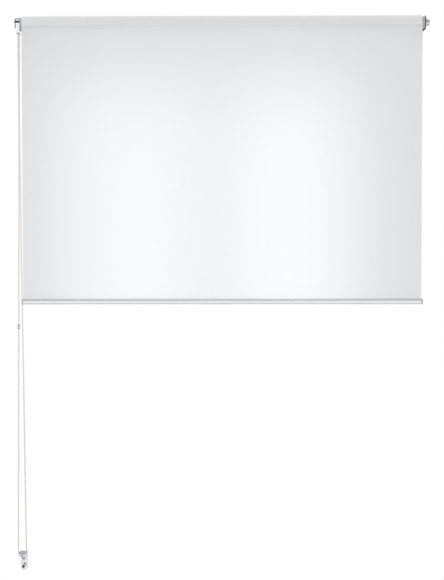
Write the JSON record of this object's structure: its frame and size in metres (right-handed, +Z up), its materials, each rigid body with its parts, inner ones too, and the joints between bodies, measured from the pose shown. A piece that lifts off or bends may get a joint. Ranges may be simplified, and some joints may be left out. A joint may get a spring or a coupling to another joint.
{
  "type": "roller blind",
  "caption": "Roller blind: white translucent cloth rolled on a tube between two wall brackets, with a metal ball chain, an aluminium bottom rail and a clear chain holder.",
  "frame": {"origin": "centre of the four bracket screws on the wall face, at the height of the roller's axis", "axes": "+X to the right as seen from the room, +Y into the wall, +Z up"},
  "size_m": [1.0934, 0.0758, 1.4795],
  "materials": {
    "bracket_steel": "satin grey coated steel",
    "chrome": "polished",
    "steel": "plain",
    "spring_steel": "drawn wire",
    "white_plastic": "moulded",
    "grey_plastic": "moulded",
    "cap_plastic": "moulded",
    "aluminium": "mill finish",
    "rail_aluminium": "satin anodised",
    "tape": "double-sided tape",
    "cloth": "white translucent plain weave",
    "chain_steel": "nickel plated balls",
    "clear_plastic": "clear moulded",
    "black_screw": "black coated"
  },
  "bodies": {
    "root": {"control_bracket": "bracket_steel", "control_cap": "chrome", "clutch_screw": "steel", "clutch_shaft": "white_plastic", "chain_guard": "chrome", "guard_cover": "chrome", "brake_springs": "spring_steel", "shaft_clip": "spring_steel", "idle_bush": "white_plastic", "idle_bracket": "bracket_steel", "idle_cap": "chrome", "ball_chain": "chain_steel", "hanging_fabric": "cloth", "holder_body": "clear_plastic", "holder_clip": "clear_plastic", "holder_screw": "black_screw"},
    "roller": {"drive_drum": "grey_plastic", "roller_tube": "aluminium", "fabric_tape": "tape", "fabric_roll": "cloth", "idle_plug": "grey_plastic", "pin_spring": "spring_steel", "spring_seat": "steel"},
    "wheel": {"chain_wheel": "white_plastic"},
    "pin": {"idle_pin": "steel"},
    "joiner": {"chain_connector": "clear_plastic"},
    "rail": {"hem_fabric": "cloth", "rail_spline": "white_plastic", "bottom_rail": "rail_aluminium", "rail_cap_left": "cap_plastic", "rail_cap_right": "cap_plastic"}
  },
  "joints": [
    {"name": "roller_spin", "type": "hinge", "parent": "root", "child": "roller", "pos_m": [0, -0.032, 0], "axis": [1, 0, 0], "range_deg": [-2150, 2910]},
    {"name": "wheel_spin", "type": "hinge", "parent": "root", "child": "wheel", "pos_m": [-0.5355, -0.032, 0], "axis": [1, 0, 0], "range_deg": [-2150, 2910]},
    {"name": "rail_lift", "type": "slide", "parent": "root", "child": "rail", "axis": [0, 0, 1], "range_m": [-0.946, 0.696], "deforming": ["hanging_fabric"]},
    {"name": "joiner_slide", "type": "slide", "parent": "root", "child": "joiner", "axis": [-0.0079, -0.0077, -0.9999], "range_m": [-0.535, 0.395]},
    {"name": "pin_release", "type": "slide", "parent": "roller", "child": "pin", "axis": [-1, 0, 0], "range_m": [0, 0.0085], "stiffness_N_per_m": 500, "springref_m": -0.01, "deforming": ["pin_spring"]}
  ],
  "couplings": [
    {"joint": "roller_spin", "follows": "rail_lift", "rad_per_m": -53.476},
    {"joint": "wheel_spin", "follows": "rail_lift", "rad_per_m": -53.476},
    {"joint": "joiner_slide", "follows": "rail_lift", "ratio": 0.5615}
  ]
}
